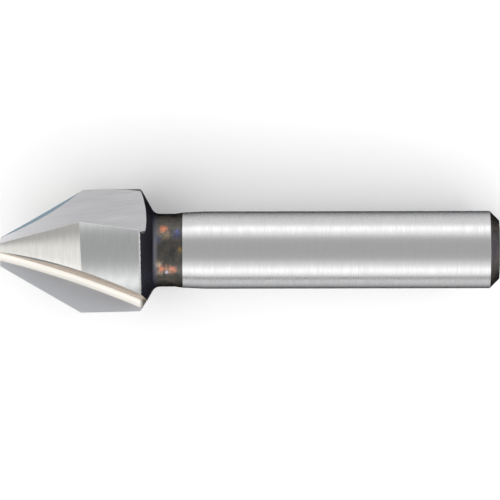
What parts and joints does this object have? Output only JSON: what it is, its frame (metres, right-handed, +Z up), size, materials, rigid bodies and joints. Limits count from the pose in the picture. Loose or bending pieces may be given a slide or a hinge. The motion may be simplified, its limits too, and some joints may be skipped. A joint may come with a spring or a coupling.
{
  "type": "countersink",
  "caption": "Countersink with a fluted 60 degree cone, relief-ground lands, a necked-down back and a plain cylindrical shank, for chamfering and deburring holes.",
  "frame": {"origin": "under the middle of the bounding box, on the surface the tool lies on", "axes": "+X from the tip toward the shank end, +Z up from the surface; the tool's own axis leans 2.7 degrees down toward the shank end"},
  "size_m": [0.0646, 0.016, 0.0154],
  "materials": {
    "high_speed_steel": "ground bright on the shank, lands and flutes, with a black heat-treated back cone and neck"
  },
  "bodies": {
    "root": {"countersink": "high_speed_steel"}
  },
  "joints": []
}
